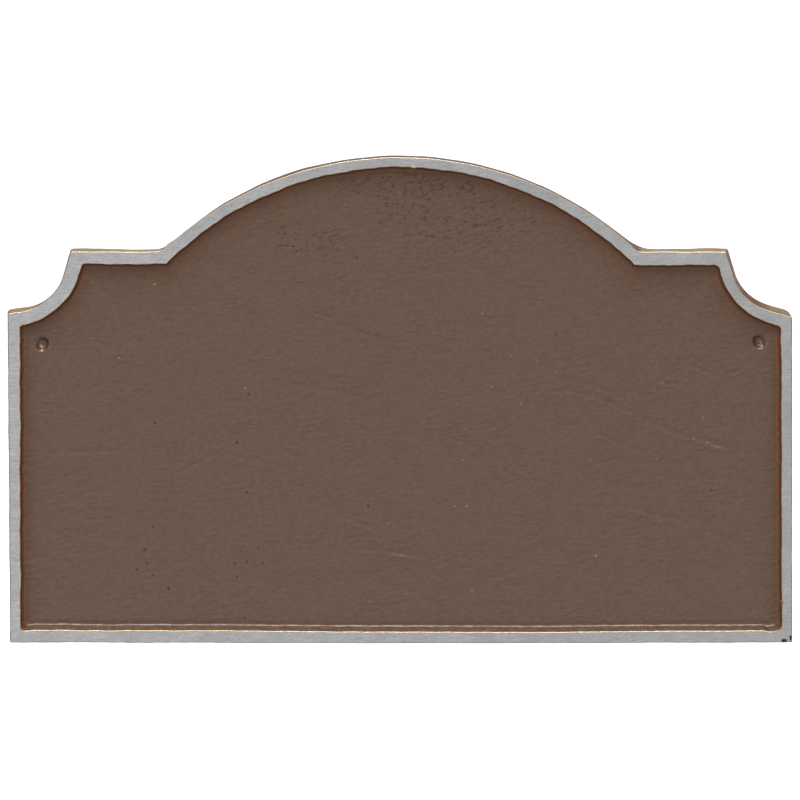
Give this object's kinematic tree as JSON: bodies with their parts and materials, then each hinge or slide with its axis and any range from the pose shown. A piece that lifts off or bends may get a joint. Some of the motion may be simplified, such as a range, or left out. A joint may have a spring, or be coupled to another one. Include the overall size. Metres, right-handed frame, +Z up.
{
  "type": "address plaque",
  "caption": "Blank arched address plaque with notched corners: cast metal plate with a raised grey rim round a recessed brown field, and a dimple at each side for a wall screw.",
  "frame": {"origin": "on the flat back face that lies against the wall, centred across the width and level with the two screw dimples", "axes": "+Z up, +X along the width to the right as seen from the front, +Y into the wall; the front faces -Y"},
  "size_m": [0.4008, 0.008, 0.2528],
  "materials": {
    "brown_paint": "satin",
    "bare_rim": "satin"
  },
  "bodies": {
    "root": {"plaque": "brown_paint"}
  },
  "joints": []
}
